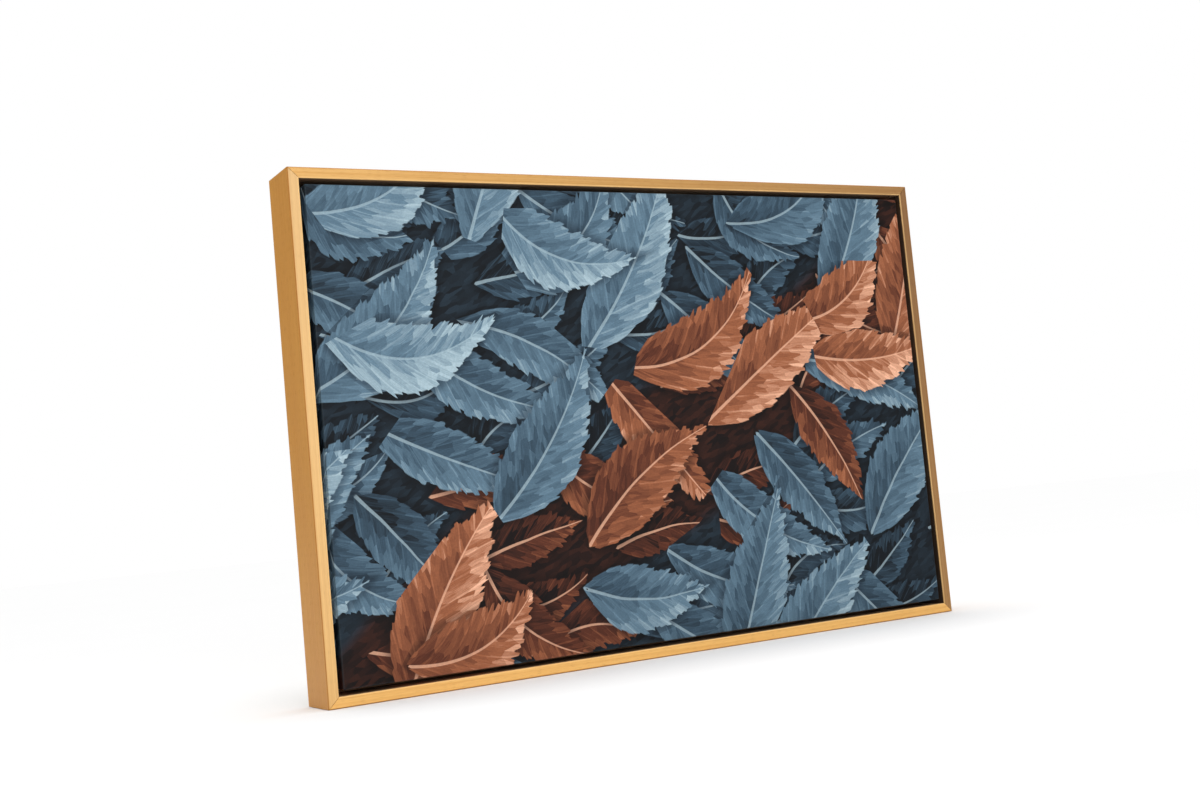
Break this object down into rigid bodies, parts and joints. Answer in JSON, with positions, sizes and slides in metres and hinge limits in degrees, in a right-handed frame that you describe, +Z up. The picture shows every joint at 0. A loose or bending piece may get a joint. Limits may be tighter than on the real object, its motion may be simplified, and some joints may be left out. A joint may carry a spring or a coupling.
{
  "type": "framed canvas picture",
  "caption": "Printed canvas on a wooden stretcher, screwed into a gold-stained floater frame that stands on its bottom rail or hangs on a sawtooth strip.",
  "frame": {"origin": "bottom centre of the object's box, on the surface that the bottom rail stands on", "axes": "+X along the picture's width to the viewer's right, +Z up along its height, +Y from the picture to the wall; the picture faces -Y"},
  "size_m": [0.637, 0.055, 0.433],
  "materials": {
    "gold_wood": "satin gold-honey stain over fine straight grain, black inside the float gap",
    "pine": "planed, unfinished",
    "canvas": "matt printed cotton weave",
    "zinc_steel": "zinc plated",
    "rubber": "matt"
  },
  "bodies": {
    "root": {"frame_rail_bottom": "gold_wood", "frame_rail_top": "gold_wood", "frame_rail_left": "gold_wood", "frame_rail_right": "gold_wood", "stretcher_bar_bottom": "pine", "stretcher_bar_top": "pine", "stretcher_bar_left": "pine", "stretcher_bar_right": "pine", "canvas": "canvas", "ledge_screw_bottom_1": "zinc_steel", "ledge_screw_bottom_2": "zinc_steel", "ledge_screw_bottom_3": "zinc_steel", "ledge_screw_top_1": "zinc_steel", "ledge_screw_top_2": "zinc_steel", "ledge_screw_top_3": "zinc_steel", "ledge_screw_left_1": "zinc_steel", "ledge_screw_left_2": "zinc_steel", "ledge_screw_right_1": "zinc_steel", "ledge_screw_right_2": "zinc_steel", "sawtooth_hanger": "zinc_steel", "hanger_nail_left": "zinc_steel", "hanger_nail_right": "zinc_steel", "bumper_left": "rubber", "bumper_right": "rubber"}
  },
  "joints": []
}
